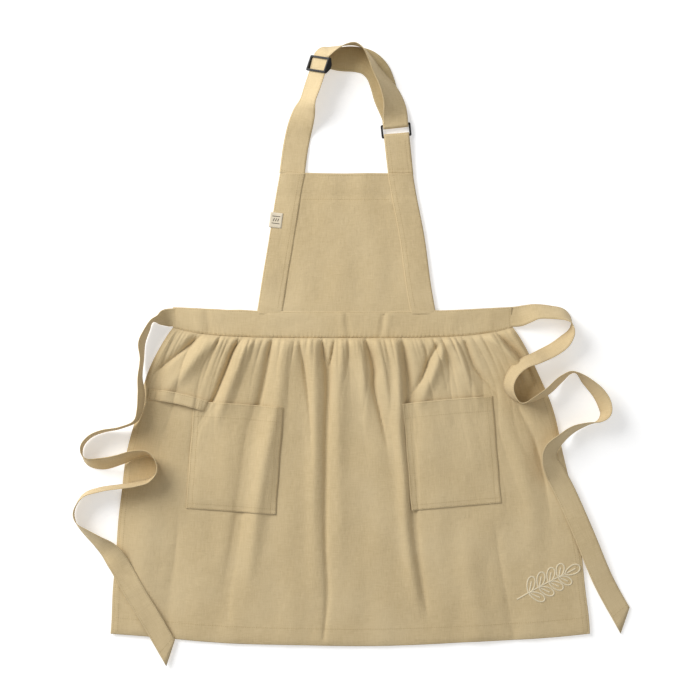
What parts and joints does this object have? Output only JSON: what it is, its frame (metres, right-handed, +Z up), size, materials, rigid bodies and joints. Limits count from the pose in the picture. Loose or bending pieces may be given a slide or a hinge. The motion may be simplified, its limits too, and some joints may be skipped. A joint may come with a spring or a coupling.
{
  "type": "apron",
  "caption": "Pinafore-style bib apron: gathered cotton skirt with patch pockets, adjustable neck strap with slider and ring, waist ties and a towel loop.",
  "frame": {"origin": "under the middle of the whole apron's bounding box, on the surface it lies on", "axes": "+X towards the right of someone looking down at the front, +Y from the hem towards the neck strap, +Z up out of the front face"},
  "size_m": [0.8368, 0.9258, 0.0415],
  "materials": {
    "cotton": "washed cotton twill, sand coloured",
    "cotton_back": "washed cotton twill, wrong side",
    "thread": "cream satin-stitch thread",
    "label": "woven damask label",
    "acetal": "moulded, fine ribs"
  },
  "bodies": {
    "skirt": {"waistband_facing": "cotton_back", "waistband_front": "cotton", "skirt_panel": "cotton", "skirt_bottom_hem": "cotton_back", "skirt_left_hem": "cotton_back", "skirt_right_hem": "cotton_back", "left_pocket": "cotton", "right_pocket": "cotton", "towel_loop": "cotton", "towel_loop_tack": "thread", "embroidered_sprig": "thread"},
    "bib": {"bib_panel": "cotton", "bib_top_hem": "cotton_back", "left_bib_band": "cotton", "right_bib_band": "cotton", "woven_label": "label"},
    "neck_strap": {"neck_strap_outer": "cotton", "neck_strap_return": "cotton", "right_strap": "cotton"},
    "slider": {"strap_slider": "acetal"},
    "ring": {"strap_ring": "acetal"},
    "left_tie": {"left_tie": "cotton"},
    "right_tie": {"right_tie": "cotton"}
  },
  "joints": [
    {"name": "bib_fold", "type": "hinge", "parent": "skirt", "child": "bib", "pos_m": [-0.0095, 0.06448, 0.0048], "axis": [1, 0, 0], "range_deg": [0, 120]},
    {"name": "neck_strap_fold", "type": "hinge", "parent": "bib", "child": "neck_strap", "pos_m": [-0.0095, 0.26978, 0.0048], "axis": [1, 0, 0], "range_deg": [0, 90]},
    {"name": "slider_travel", "type": "slide", "parent": "neck_strap", "child": "slider", "axis": [-0.3162, -0.9487, 0], "range_m": [0, 0.03]},
    {"name": "ring_tilt", "type": "hinge", "parent": "neck_strap", "child": "ring", "pos_m": [0.06592, 0.32543, 0.0037], "axis": [0.9945, 0.1045, 0], "range_deg": [0, 8]},
    {"name": "left_tie_lift", "type": "hinge", "parent": "skirt", "child": "left_tie", "pos_m": [-0.2665, 0.0548, 0.005], "axis": [-0.0119, 0.9999, 0], "range_deg": [0, 90]},
    {"name": "right_tie_lift", "type": "hinge", "parent": "skirt", "child": "right_tie", "pos_m": [0.2369, 0.0548, 0.005], "axis": [-0.127, -0.9919, 0], "range_deg": [0, 90]}
  ]
}
